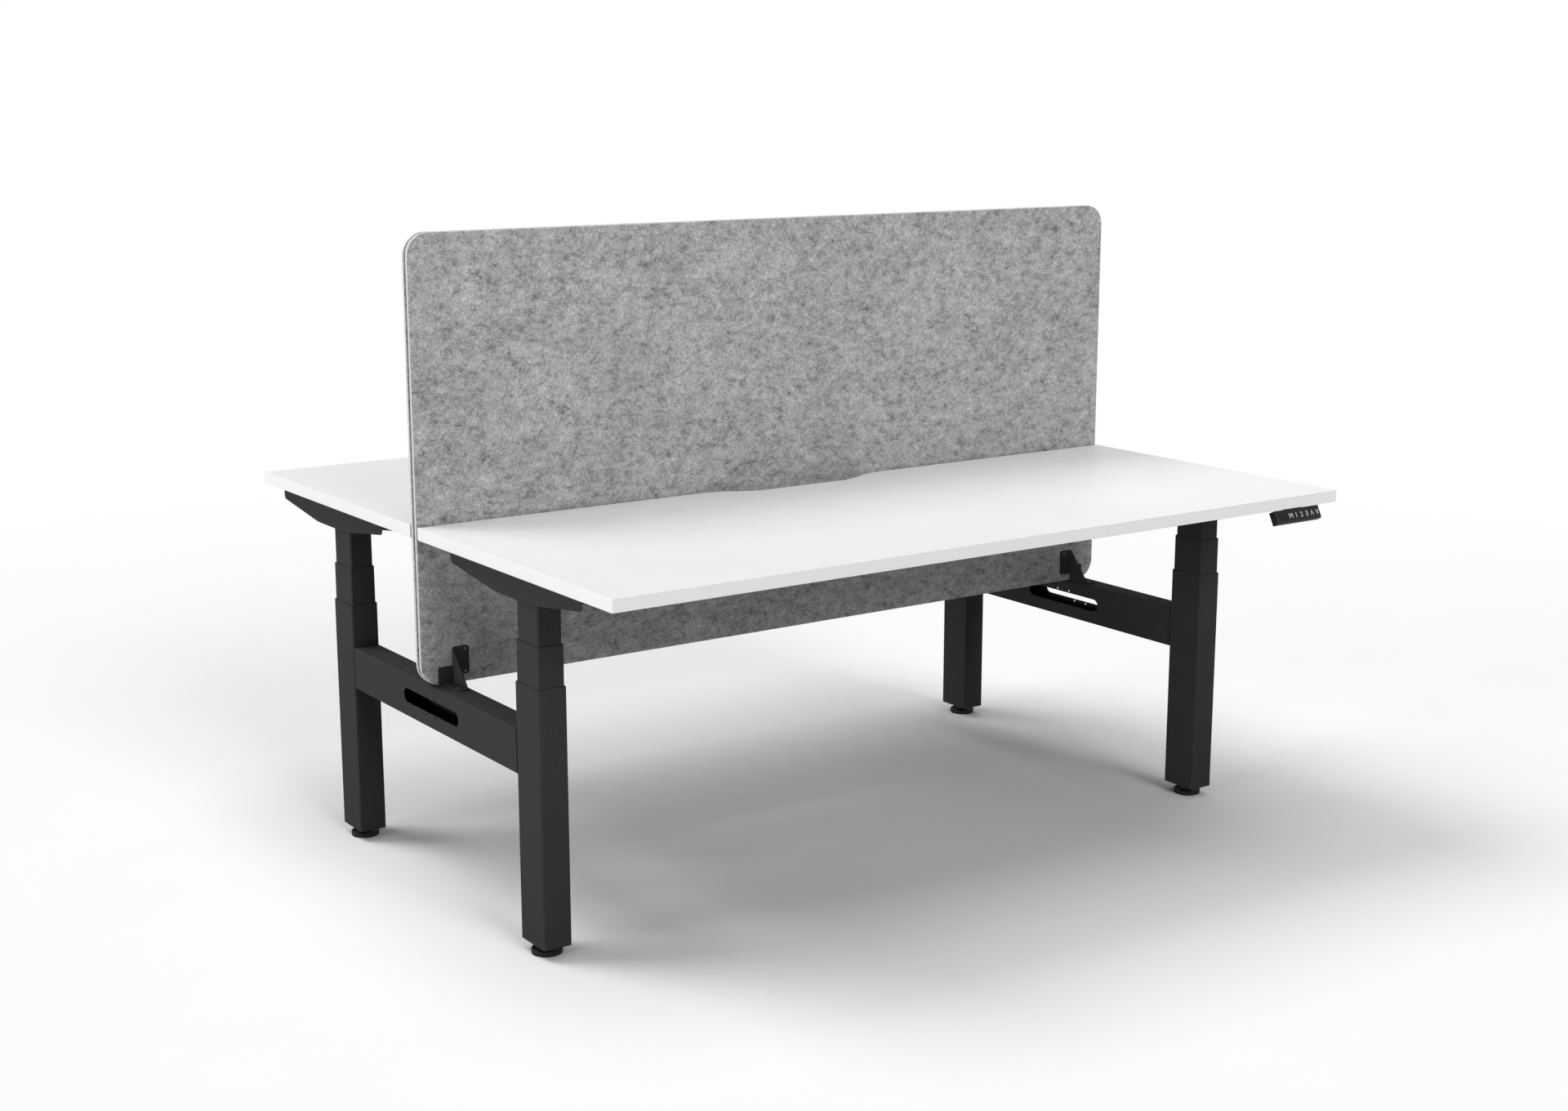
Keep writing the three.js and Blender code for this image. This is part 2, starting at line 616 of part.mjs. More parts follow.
for (const [end, x] of [["left", -1], ["right", 1]]) {
  for (const [side, y] of [["front", -1], ["rear", 1]]) {
    const leg = new THREE.Group();
    leg.position.set(x * LEG_X, y * LEG_Y, 0);
    const name = (piece) => `${piece}_${side}_${end}`;
    place(leg, name("outer_tube"), outerTube(), POWDER_COAT);
    place(leg, name("middle_tube"), middleTube(), POWDER_COAT);
    place(leg, name("inner_tube"), innerTube(), POWDER_COAT);
    place(leg, name("levelling_foot"), levellingFoot(), RUBBER);
    place(leg, name("gear_motor"), gearMotor(), MOTOR_CASE);
    place(leg, name("drive_shaft"), driveShaft(), ZINC);
    place(leg, name("drive_tube"), driveTube(), ZINC);
    place(leg, name("support"), support(), POWDER_COAT);
    bench.add(leg);

    const bracket = place(bench, name("screen_bracket"), screenBracket(), POWDER_COAT);
    bracket.scale.set(x, y, 1);
  }
  const tie = place(bench, `beam_${end}`, beam(), POWDER_COAT);
  tie.position.x = x * LEG_X;
}

for (const [side, turn] of [["front", 0], ["rear", Math.PI]]) {
  const desk = new THREE.Group();
  desk.rotation.z = turn;
  place(desk, `desktop_${side}`, desktop(), MELAMINE);
  place(desk, `crossbar_${side}`, crossbar(), POWDER_COAT);
  place(desk, `control_box_${side}`, controlBox(), MOULDED);
  addHandset(desk, side);
  bench.add(desk);

  const panel = place(bench, `screen_panel_${side}`, screenPanel(), FELT);
  panel.rotation.z = turn + Math.PI;
}

export default bench;
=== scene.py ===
"""Looks of a benching desk for two: white tops, black telescoping legs and a grey felt screen."""
import math
from contextlib import contextmanager

import bmesh
import bpy
from mathutils import Matrix, Vector


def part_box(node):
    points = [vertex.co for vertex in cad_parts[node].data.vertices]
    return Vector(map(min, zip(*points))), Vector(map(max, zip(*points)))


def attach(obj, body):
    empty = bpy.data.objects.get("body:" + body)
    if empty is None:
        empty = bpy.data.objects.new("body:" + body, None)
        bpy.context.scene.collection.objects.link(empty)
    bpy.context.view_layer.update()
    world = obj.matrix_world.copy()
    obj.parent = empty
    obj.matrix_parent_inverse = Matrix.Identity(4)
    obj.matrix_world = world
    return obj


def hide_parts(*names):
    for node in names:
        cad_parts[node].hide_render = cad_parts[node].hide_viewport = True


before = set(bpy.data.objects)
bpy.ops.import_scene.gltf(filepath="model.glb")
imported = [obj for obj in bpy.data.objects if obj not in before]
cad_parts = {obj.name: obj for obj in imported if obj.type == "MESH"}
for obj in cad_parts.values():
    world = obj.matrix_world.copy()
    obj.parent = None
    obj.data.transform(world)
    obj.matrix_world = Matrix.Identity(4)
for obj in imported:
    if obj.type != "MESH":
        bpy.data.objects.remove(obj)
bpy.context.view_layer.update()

# Metres, in the frame of the CAD model: X runs along the screen, -Y points to the front user, Z is up.
MM = 0.001
X, Y, Z = range(3)
SIDES = {"front": -1, "rear": 1}
ENDS = {"left": -1, "right": 1}
LEGS = [(side, end) for side in SIDES for end in ENDS]
HALF_TURN = Matrix.Rotation(math.pi, 4, "Z")

# Shaping
TINY = 0.01 * MM
JOIN_SLIVER = 0.2 * MM
CUT_PAST = 10 * MM  # how far a cutting block passes the faces that it opens
BORE_PAST = 1 * MM  # the same for a bore
SMOOTH_ANGLE = math.radians(35)
FLAT_ANGLE = math.radians(1)
HARD_ANGLE = math.radians(50)  # edges that turn more than this are softened
SLIGHT_ANGLE = math.radians(40)  # the same where slighter edges count too
SQUARE_ON = 0.9  # a face looks along an axis if its normal has more than this along it
EDGE_ON = 0.5  # a face belongs to the edge of a board if its normal has less than this across it

# Boards
SCALLOP_MOUTH = 400 * MM
SCALLOP_FLOOR = 260 * MM
SCALLOP_DEPTH = 45 * MM
SCALLOP_ROUND = 37 * MM
BOARD_EDGE = 0.8 * MM

# Felt
FELT_CORNER = 45 * MM
FELT_EDGE = 3 * MM
FELT_BACK_EDGE = 3 * MM
CORE_HALF = 2.8 * MM
CORE_INSET = 14 * MM

# Legs and beams
TUBE_WALL = 1.8 * MM
TUBE_CORNER = 4 * MM
TUBE_PLATES = {"outer": 6 * MM, "middle": 5 * MM, "inner": 10 * MM}
DRIVE_BORE = 12.4 * MM
LIFT_SCREW_RADIUS = 8 * MM
LIFT_SCREW_BORE = 5.75 * MM
LIFT_SCREW_TOP = 389 * MM
RIM_EDGE = 0.35 * MM
BEAM_WALL = 2 * MM
BEAM_CORNER = 3 * MM
BEAM_JOINT = 2.5 * MM
SLOT_LENGTH = 246 * MM
SLOT_HEIGHT = 30 * MM
SLOT_HOLE_RADIUS = 2.5 * MM
SLOT_HOLE_SPACING = 40 * MM
SHEET_EDGE = 0.4 * MM

# Arms under the tops
ARM_SHEET = 2.5 * MM
ARM_FLAT_NEAR = 27 * MM
ARM_FLAT_FAR = 115 * MM
ARM_END_DEPTH = 28.5 * MM
ARM_BEND = 14 * MM
ARM_END_ROUND = 8 * MM

# Screen brackets and their screws
BRACKET_SHEET = 3 * MM
BRACKET_CORNER = 5 * MM
PLATE_WIDTH = 36 * MM
PLATE_BOTTOM = 17 * MM
WING_TOP = 37 * MM
WEB_HEAD = 4 * MM
WEB_FOOT = 64 * MM
FLANGE_WIDTH = 23 * MM
PLATE_SCREW_FROM_SIDE = 9.5 * MM
PLATE_SCREW_FROM_END = 6 * MM
FLANGE_SCREW_FROM_SIDE = 20 * MM
FLANGE_SCREW_FROM_END = 18 * MM
HEAD_RADIUS = 3.4 * MM
HEAD_HEIGHT = 1.9 * MM
HEAD_ROUND = 1.2 * MM
SOCKET_RADIUS = 1.3 * MM
SOCKET_FLOOR = 0.7 * MM
SOCKET_TOP = 3 * MM

# Feet
FOOT_HEIGHT = 10 * MM
FOOT_RIM = 4 * MM
FOOT_DISH = 2.5 * MM
FOOT_EDGE = 1.2 * MM
NUT_RADIUS = 13.8 * MM
NUT_TOP = 22 * MM
STEM_RADIUS = 5 * MM

# Hand controls, seen upright: the face is at Y = 0 and its top edge at Z = 0
CONTROL_WIDTH = 134 * MM
CONTROL_FACE = 29 * MM
CONTROL_DEPTH = 15 * MM
CONTROL_TILT = math.radians(-27)
CONTROL_CHAMFER = 2.5 * MM
CONTROL_EDGE = 0.5 * MM
CONTROL_PLACE = Vector((779, -763.5, 736.5)) * MM
NECK_WIDTH = 50 * MM
NECK_REACH = 50 * MM
NECK_SHEET = 4 * MM
NECK_RISE = 1.5 * MM
NECK_LAP = 1 * MM
NECK_EDGE = 0.8 * MM
KEY_NAMES = ("memory", "one", "two", "three", "up", "down")
KEY_LEGENDS = ("M", "I", "2", "3", "V", "V")  # a plain stroke for one, and a chevron that up turns over
KEY_PITCH = 16 * MM
KEY_LAST = 59 * MM
KEY_WIDTH = 13 * MM
KEY_HEIGHT = 17 * MM
KEY_THICKNESS = 3 * MM
KEY_PROUD = 0.2 * MM
KEY_GAP = 0.3 * MM
KEY_ROOM = 1 * MM
KEY_CORNER = 1.5 * MM
KEY_EDGE = 0.4 * MM
POCKET_FRONT = -5 * MM
LEGEND_SIZE = 16 * MM
LEGEND_PROUD = 0.04 * MM
WINDOW_WIDTH = 27 * MM
WINDOW_HEIGHT = 16 * MM
WINDOW_CENTRE = -46 * MM
WINDOW_CORNER = 2 * MM
WINDOW_RECESS = 0.8 * MM
WINDOW_PLAY = 0.3 * MM
WINDOW_FRONT = 0.15 * MM
WINDOW_BACK = 2 * MM
WINDOW_EDGE = 0.3 * MM

# Finishes
SPECULAR = "Specular IOR Level"
NOISE_LOW = 0.3  # most of a noise lies between these two
NOISE_HIGH = 0.7
WHITE = (1, 1, 1, 1)

# Camera, fitted to the photograph
CAMERA_PLACE = (-2.7218, -3.8859, 1.6051)
CAMERA_TURN = (math.radians(77.983), 0, math.radians(-34.899))
CAMERA_LENS = 50.32
CAMERA_SENSOR = 36
CAMERA_SIGHT = 200

# Floor and light: a lamp has a name, a strength, and its softness and turn in degrees
FLOOR_SIZE = 120
FLOOR_BOUNCE = (0.25, 0.85)
FLOOR_REACH = (0.9, 2.2)
FLOOR_FADE = (2.0, 4.8)
SKY_STRENGTH = 0.02
LAMP_PLACE = (-3, 3, 5)
LAMPS = (
    ("back_key", 1.42, 28, (36, 0, -138)),
    ("overhead", 1.15, 45, (0, 0, 0)),
    ("front_fill", 0.22, 30, (40, 0, 0)),
    ("front_low", 1.02, 24, (62, 0, 0)),
    ("left_fill", 1.3, 24, (84, 0, -90)),
)


# Selecting and shaping

def pick(piece):
    """Makes one piece the only selected one."""
    bpy.ops.object.select_all(action="DESELECT")
    piece.select_set(True)
    bpy.context.view_layer.objects.active = piece


@contextmanager
def editing(piece):
    """Opens a piece in edit mode and closes it again."""
    pick(piece)
    bpy.ops.object.mode_set(mode="EDIT")
    yield
    bpy.ops.object.mode_set(mode="OBJECT")


def select_edges(piece, wanted):
    """Selects the edges whose two ends pass the test."""
    bpy.ops.mesh.select_mode(type="EDGE")
    bpy.ops.mesh.select_all(action="DESELECT")
    mesh = bmesh.from_edit_mesh(piece.data)
    for edge in mesh.edges:
        start, end = (vertex.co for vertex in edge.verts)
        edge.select_set(wanted(start, end))
    bmesh.update_edit_mesh(piece.data)


def select_faces(piece, wanted):
    """Selects the faces whose centre and normal pass the test."""
    bpy.ops.mesh.select_mode(type="FACE")
    bpy.ops.mesh.select_all(action="DESELECT")
    mesh = bmesh.from_edit_mesh(piece.data)
    for face in mesh.faces:
        face.select_set(wanted(face.calc_center_median(), face.normal))
    bmesh.update_edit_mesh(piece.data)


def along(axis):
    """A test for edges that run along an axis."""
    others = [i for i in range(3) if i != axis]
    return lambda start, end: all(abs(start[i] - end[i]) < TINY for i in others)


def facing(axis, sign=0):
    """A test for faces that look along an axis, one way or both ways."""
    return lambda centre, normal: (normal[axis] * sign if sign else abs(normal[axis])) > SQUARE_ON


def at_level(axis, level):
    """A test for edges that lie at one place along an axis."""
    return lambda start, end: max(abs(start[axis] - level), abs(end[axis] - level)) < TINY


def round_edges(piece, wanted, radius, segments):
    """Rounds the edges that pass the test, in edit mode."""
    select_edges(piece, wanted)
    bpy.ops.mesh.bevel(offset=radius, segments=segments, affect="EDGES", clamp_overlap=True)


def settle(name):
    """Names the new piece and moves its place and size into its mesh."""
    bpy.ops.object.transform_apply(location=True, rotation=True, scale=True)
    bpy.context.object.name = name
    return bpy.context.object


def start_block(name, low, high):
    """A block between two corners."""
    low, high = Vector(low), Vector(high)
    bpy.ops.object.select_all(action="DESELECT")
    bpy.ops.mesh.primitive_cube_add(size=1, location=(low + high) / 2, scale=high - low)
    return settle(name)


def start_round(name, centre, radius, low, high, sides):
    """An upright round bar between two levels."""
    bpy.ops.object.select_all(action="DESELECT")
    place = (centre[0], centre[1], (low + high) / 2)
    bpy.ops.mesh.primitive_cylinder_add(vertices=sides, radius=radius, depth=high - low, location=place)
    return settle(name)


def apply_modifier(piece, kind, **settings):
    pick(piece)
    modifier = piece.modifiers.new(kind, kind)
    for setting, value in settings.items():
        setattr(modifier, setting, value)
    bpy.ops.object.modifier_apply(modifier=modifier.name)


def combine(piece, tool, operation):
    """Cuts the tool out of a piece or melts it on, and takes the tool away."""
    apply_modifier(piece, "BOOLEAN", object=tool, operation=operation, solver="EXACT")
    bpy.data.objects.remove(tool)


def clean_joins(piece, sliver):
    """Takes out the slivers that melting flush pieces together or softening them leaves behind."""
    with editing(piece):
        bpy.ops.mesh.select_all(action="SELECT")
        bpy.ops.mesh.remove_doubles(threshold=sliver)
        bpy.ops.mesh.dissolve_limited(angle_limit=FLAT_ANGLE)


def soften(piece, width, segments=2, angle=HARD_ANGLE):
    """Takes the sharpness off every hard edge."""
    apply_modifier(
        piece, "BEVEL", width=width, segments=segments, limit_method="ANGLE", angle_limit=angle,
        harden_normals=False,
    )


def join(piece, *others):
    """Joins other pieces to a piece, as shells of one mesh."""
    pick(piece)
    for other in others:
        other.select_set(True)
    bpy.ops.object.join()
    return piece


def twin(piece, name, matrix):
    """A copy of a piece with a mesh of its own, moved, turned or mirrored."""
    copy = piece.copy()
    copy.data = piece.data.copy()
    copy.name = name
    bpy.context.collection.objects.link(copy)
    copy.data.transform(matrix)
    if matrix.determinant() < 0:
        copy.data.flip_normals()
    return copy


def finish_piece(piece, body, slot, materials, *nodes):
    """Gives a piece its finish and sets it on its body, in place of the CAD nodes."""
    for material in materials:
        piece.data.materials.append(material)
    pick(piece)
    bpy.ops.object.shade_smooth_by_angle(angle=SMOOTH_ANGLE)
    apply_modifier(piece, "WEIGHTED_NORMAL", keep_sharp=True)
    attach(piece, body)
    if nodes:
        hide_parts(*nodes)


def finish_edges(piece, axis):
    """Gives a board's second finish to its edge, all round the axis that goes through the board."""
    for polygon in piece.data.polygons:
        polygon.material_index = int(abs(polygon.normal[axis]) < EDGE_ON)


# Building blocks of the finishes

def start_material(name, constants):
    """A material whose shader has its constant values on its own sockets."""
    material = bpy.data.materials.new(name)
    material.use_nodes = True
    shader = material.node_tree.nodes["Principled BSDF"]
    for socket, value in constants.items():
        shader.inputs[socket].default_value = value
    return material, material.node_tree, shader


def add_node(tree, kind, inputs=None, **settings):
    node = tree.nodes.new(kind)
    for setting, value in settings.items():
        setattr(node, setting, value)
    for socket, value in (inputs or {}).items():
        node.inputs[socket].default_value = value
    return node


def grain(tree, scale, detail=3, roughness=0.55, distortion=0, stretch=(1, 1, 1)):
    """Noise on the piece's own coordinates, in cells per metre, stretched along its axes."""
    coordinates = add_node(tree, "ShaderNodeTexCoord")
    mapping = add_node(tree, "ShaderNodeMapping", {"Scale": stretch})
    noise = add_node(tree, "ShaderNodeTexNoise", {
        "Scale": scale, "Detail": detail, "Roughness": roughness, "Distortion": distortion,
    })
    tree.links.new(coordinates.outputs["Object"], mapping.inputs["Vector"])
    tree.links.new(mapping.outputs["Vector"], noise.inputs["Vector"])
    return noise.outputs["Fac"]


def grey(value):
    return (value, value, value)


def shades(tree, factor, *stops):
    """A ramp of colours over a factor, from (position, colour) pairs."""
    node = add_node(tree, "ShaderNodeValToRGB")
    elements = node.color_ramp.elements
    while len(elements) < len(stops):
        elements.new(1)
    for element, (position, colour) in zip(elements, stops):
        element.position = position
        element.color = (*colour, 1)
    tree.links.new(factor, node.inputs["Fac"])
    return node.outputs["Color"]


def two_tone(tree, factor, dark, light):
    """A drift from a dark to a light colour over the middle of a noise."""
    return shades(tree, factor, (NOISE_LOW, dark), (NOISE_HIGH, light))


def spread(tree, factor, low, high, start=NOISE_LOW, end=NOISE_HIGH):
    """Maps the middle of a noise, or another range, onto a range of values."""
    node = add_node(tree, "ShaderNodeMapRange", {
        "From Min": start, "From Max": end, "To Min": low, "To Max": high,
    })
    tree.links.new(factor, node.inputs["Value"])
    return node.outputs["Result"]


def multiplied(tree, first, second):
    node = add_node(tree, "ShaderNodeMix", data_type="RGBA", blend_type="MULTIPLY")
    node.inputs["Factor"].default_value = 1
    tree.links.new(first, node.inputs["A"])
    tree.links.new(second, node.inputs["B"])
    return node.outputs["Result"]


def lay_on(tree, shader, colour, noise, smoothest, roughest):
    """Sets the colour of a finish, and its roughness from a noise."""
    tree.links.new(colour, shader.inputs["Base Color"])
    tree.links.new(spread(tree, noise, smoothest, roughest), shader.inputs["Roughness"])


def relief(tree, shader, height, depth, strength):
    """Raises a noise as fine relief on a finish."""
    bump = add_node(tree, "ShaderNodeBump", {"Strength": strength, "Distance": depth})
    tree.links.new(height, bump.inputs["Height"])
    tree.links.new(bump.outputs["Normal"], shader.inputs["Normal"])


# Finishes of the bench

def powder_coat():
    """Fine-textured black powder coat on steel."""
    material, tree, shader = start_material("powder_coat_black", {SPECULAR: 0.02})
    peel = grain(tree, 850, detail=2, roughness=0.5)
    cloud = grain(tree, 14)
    tone = two_tone(tree, peel, (0.043, 0.043, 0.0435), (0.057, 0.057, 0.0576))
    drift = two_tone(tree, cloud, grey(0.94), grey(1))
    lay_on(tree, shader, multiplied(tree, tone, drift), cloud, 0.66, 0.76)
    relief(tree, shader, peel, 0.08 * MM, 0.35)
    return material


def melamine():
    """White melamine with a faint pearl grain."""
    material, tree, shader = start_material("melamine_white", {SPECULAR: 0.2})
    pearl = grain(tree, 1100, detail=2)
    cloud = grain(tree, 6, detail=2)
    tone = two_tone(tree, cloud, (0.855, 0.855, 0.853), (0.875, 0.875, 0.874))
    lay_on(tree, shader, tone, pearl, 0.42, 0.52)
    relief(tree, shader, pearl, 0.03 * MM, 0.25)
    return material


def edge_band():
    """The plastic band round a board, a little smoother than its face, and painted paler than the face as
    painted light on the board's sides.
    """
    material, tree, shader = start_material("edge_band_white", {SPECULAR: 0.3})
    drag = grain(tree, 40, stretch=(1, 1, 30))
    # painted light: the band is whiter than the melamine so that the board's sides read as lit
    tone = two_tone(tree, drag, (0.94, 0.94, 0.938), (0.955, 0.955, 0.953))
    lay_on(tree, shader, tone, drag, 0.38, 0.48)
    relief(tree, shader, drag, 0.02 * MM, 0.2)
    return material


def felt():
    """Pressed grey felt: marl that is warm where pale and cool where dark, wisps and fine fibres."""
    material, tree, shader = start_material(
        "felt_grey_marl", {SPECULAR: 0.1, "Sheen Weight": 0.15, "Sheen Roughness": 0.6},
    )
    marl = shades(
        tree, grain(tree, 52, detail=9, roughness=0.82, distortion=0.2, stretch=(0.75, 1, 1.1)),
        (0.33, (0.131, 0.137, 0.15)), (0.46, (0.409, 0.413, 0.421)),
        (0.54, (0.505, 0.502, 0.495)), (0.67, (0.661, 0.651, 0.627)),
    )
    cloud = two_tone(
        tree, grain(tree, 6, roughness=0.6, distortion=0.4), (0.9, 0.902, 0.912), (1.08, 1.078, 1.068),
    )
    thread = (0.8, 0.8, 0.815)
    wisp = shades(
        tree, grain(tree, 20, detail=4, roughness=0.6, distortion=1.2, stretch=(0.55, 1, 1)),
        (0.47, grey(1)), (0.495, thread), (0.505, thread), (0.53, grey(1)),
    )
    upright = grain(tree, 420, detail=4, roughness=0.7, distortion=0.3, stretch=(1, 1, 0.25))
    crossing = grain(tree, 420, detail=4, roughness=0.7, distortion=0.3, stretch=(0.3, 1, 1))
    fibre = shades(
        tree, upright, (NOISE_LOW, (0.56, 0.56, 0.565)), (0.5, grey(1)), (NOISE_HIGH, grey(1.3)),
    )
    strand = shades(
        tree, crossing, (NOISE_LOW, (0.64, 0.64, 0.645)), (0.5, grey(1)), (NOISE_HIGH, grey(1.25)),
    )
    colour = marl
    for layer in (cloud, wisp, fibre, strand):
        colour = multiplied(tree, colour, layer)
    lay_on(tree, shader, colour, upright, 0.88, 0.98)
    relief(tree, shader, upright, 0.5 * MM, 0.5)
    return material


def felt_edge():
    """The edge of the felt, with fibres, painted much paler than its face: a painted highlight on its
    rounded edges.
    """
    material, tree, shader = start_material("felt_cut_edge", {SPECULAR: 0.1})
    fibre = grain(tree, 300, detail=4, roughness=0.7, distortion=0.5)
    # painted highlight: these pale shades stand in for light catching the felt's rounded edges
    tone = shades(
        tree, fibre, (0.34, (0.56, 0.558, 0.553)), (0.5, (0.72, 0.717, 0.71)), (0.66, (0.82, 0.817, 0.81)),
    )
    lay_on(tree, shader, tone, fibre, 0.88, 0.98)
    relief(tree, shader, fibre, 0.4 * MM, 0.4)
    return material


def moulded_plastic(name, dark, light, rough, depth):
    """Black plastic with a spark-eroded mould grain."""
    material, tree, shader = start_material(name, {SPECULAR: 0.14})
    spark = grain(tree, 1500, roughness=0.6)
    tone = two_tone(tree, spark, grey(dark), grey(light))
    lay_on(tree, shader, tone, spark, rough - 0.06, rough + 0.06)
    relief(tree, shader, spark, depth, 0.3)
    return material


def bright_metal(name, dark, light, rough):
    """Plated or cast metal with a brushed drift."""
    material, tree, shader = start_material(name, {"Metallic": 1})
    brushed = grain(tree, 300, stretch=(1, 1, 0.1))
    tone = two_tone(tree, brushed, grey(dark), grey(light))
    lay_on(tree, shader, tone, brushed, rough - 0.08, rough + 0.08)
    return material


def printed_ink():
    """White legend print, a little uneven in its cover."""
    material, tree, shader = start_material("legend_print", {})
    cover = grain(tree, 900)
    lay_on(tree, shader, two_tone(tree, cover, grey(0.68), grey(0.78)), cover, 0.45, 0.6)
    return material


def smoked_window():
    """The smoked cover of the height display."""
    material, tree, shader = start_material("display_window", {SPECULAR: 0.14})
    haze = grain(tree, 180, detail=4)
    tone = two_tone(tree, haze, (0.006, 0.006, 0.007), (0.01, 0.01, 0.011))
    lay_on(tree, shader, tone, haze, 0.3, 0.4)
    return material


POWDER = powder_coat()
MELAMINE = melamine()
EDGE_BAND_PAINTED_LIGHT = edge_band()
FELT = felt()
FELT_EDGE_HIGHLIGHT = felt_edge()
CASE_BLACK = moulded_plastic("moulded_black", 0.016, 0.024, 0.5, 0.05 * MM)
KEY_BLACK = moulded_plastic("key_black", 0.014, 0.02, 0.42, 0.03 * MM)
FOOT_BLACK = moulded_plastic("foot_black", 0.012, 0.02, 0.62, 0.1 * MM)
ZINC = bright_metal("zinc_plate", 0.55, 0.68, 0.35)
CAST = bright_metal("cast_case", 0.16, 0.22, 0.5)
SCREW_BLACK = bright_metal("screw_black", 0.07, 0.11, 0.38)
INK = printed_ink()
WINDOW = smoked_window()


# Tops

def top_board():
    """A board with a shallow scallop for cables in its rear edge."""
    low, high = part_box("desktop_front")
    board = start_block("top_board_front", low, high)
    slope = (SCALLOP_MOUTH - SCALLOP_FLOOR) / 2 / SCALLOP_DEPTH
    wide = SCALLOP_MOUTH / 2 + CUT_PAST * slope
    floor = high.y - SCALLOP_DEPTH
    notch = start_block(
        "notch", (-wide, floor, low.z - CUT_PAST), (wide, high.y + CUT_PAST, high.z + CUT_PAST),
    )
    with editing(notch):
        select_faces(notch, facing(Y, -1))
        bpy.ops.transform.resize(value=(SCALLOP_FLOOR / 2 / wide, 1, 1))
    combine(board, notch, "DIFFERENCE")
    upright = along(Z)
    within = SCALLOP_MOUTH / 2 + CUT_PAST
    with editing(board):
        round_edges(
            board, lambda a, b: upright(a, b) and abs(a.x) < within, SCALLOP_ROUND, segments=10,
        )
    soften(board, BOARD_EDGE, segments=3, angle=SLIGHT_ANGLE)
    return board


def add_tops():
    board = top_board()
    boards = {"front": board, "rear": twin(board, "top_board_rear", HALF_TURN)}
    for side, piece in boards.items():
        # the edge band is painted paler than the top, as painted light on the board's sides
        finish_piece(piece, f"{side}_desk", "melamine", [MELAMINE, EDGE_BAND_PAINTED_LIGHT], f"desktop_{side}")
        finish_edges(piece, Z)


# Felt screen

def add_screen():
    """Two felt layers with a groove between them, and the dark sheet that closes the groove inside."""
    low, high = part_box("screen_panel_front")
    high.y = -CORE_HALF
    layer = start_block("felt_layer_front", low, high)
    with editing(layer):
        round_edges(layer, along(Y), FELT_CORNER, segments=14)
        round_edges(layer, at_level(Y, low.y), FELT_EDGE, segments=5)
        round_edges(layer, at_level(Y, high.y), FELT_BACK_EDGE, segments=3)
    layers = {"front": layer, "rear": twin(layer, "felt_layer_rear", HALF_TURN)}
    for side, piece in layers.items():
        # the felt's edges take the paler finish, a painted highlight
        finish_piece(piece, "base", "felt", [FELT, FELT_EDGE_HIGHLIGHT], f"screen_panel_{side}")
        finish_edges(piece, Y)
    inset = Vector((CORE_INSET, 0, CORE_INSET))
    thick = Vector((0, CORE_HALF, 0))
    low.y = high.y = 0
    core = start_block("screen_core", low + inset - thick, high - inset + thick)
    with editing(core):
        round_edges(core, along(Y), FELT_CORNER - CORE_INSET, segments=10)
    finish_piece(core, "base", "moulded_black", [CASE_BLACK])


# Legs

def mouth_rims(tube, top):
    """A test for the two loops round the wall's top, without the short edges across it."""
    mesh = bmesh.from_edit_mesh(tube.data)
    loops = {
        frozenset(tuple(vertex.co) for vertex in edge.verts)
        for edge in mesh.edges
        if top(*(vertex.co for vertex in edge.verts))
        and sum(face.normal.z > SQUARE_ON for face in edge.link_faces) == 1
    }
    return lambda a, b: frozenset((tuple(a), tuple(b))) in loops


def leg_tube(stage, name):
    """A rectangular tube with round corners, open at its mouth, with a bored plate in its foot."""
    low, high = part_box(f"{stage}_tube_front_left")
    centre = (low + high) / 2
    floor = low.z + TUBE_PLATES[stage]
    tube = start_block(name, low, high)
    with editing(tube):
        round_edges(tube, along(Z), TUBE_CORNER, segments=6)
        select_faces(tube, facing(Z, 1))
        bpy.ops.mesh.inset(thickness=TUBE_WALL)
        bpy.ops.mesh.extrude_region_move(TRANSFORM_OT_translate={"value": (0, 0, floor - high.z)})
        rims = mouth_rims(tube, at_level(Z, high.z))
        bottom = at_level(Z, low.z)
        round_edges(tube, lambda a, b: rims(a, b) or bottom(a, b), RIM_EDGE, segments=2)
    bore_radius = DRIVE_BORE
    bore_top = floor
    if stage == "outer":
        screw_foot = (low.z + floor) / 2
        screw = start_round("lift_screw", centre, LIFT_SCREW_RADIUS, screw_foot, LIFT_SCREW_TOP, sides=40)
        combine(tube, screw, "UNION")
        bore_radius = LIFT_SCREW_BORE
        bore_top = LIFT_SCREW_TOP
    bore = start_round("bore", centre, bore_radius, low.z - BORE_PAST, bore_top + BORE_PAST, sides=40)
    combine(tube, bore, "DIFFERENCE")
    return tube


def levelling_foot():
    """A dished disc with a hexagon nut and a stem."""
    low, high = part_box("levelling_foot_front_left")
    centre = (low + high) / 2
    radius = (high.x - low.x) / 2
    disc_top = low.z + FOOT_HEIGHT
    disc = start_round("glide_foot_front_left", centre, radius, low.z, disc_top, sides=64)
    with editing(disc):
        select_faces(disc, facing(Z, 1))
        bpy.ops.mesh.inset(thickness=FOOT_RIM)
        bpy.ops.mesh.extrude_region_move(TRANSFORM_OT_translate={"value": (0, 0, -FOOT_DISH)})
    soften(disc, FOOT_EDGE, segments=3)
    nut = start_round("nut", centre, NUT_RADIUS, low.z + FOOT_HEIGHT / 2, low.z + NUT_TOP, sides=6)
    soften(nut, FOOT_EDGE / 2, angle=SLIGHT_ANGLE)
    stem = start_round("stem", centre, STEM_RADIUS, disc_top, high.z, sides=24)
    soften(stem, FOOT_EDGE / 2)
    return join(disc, nut, stem)


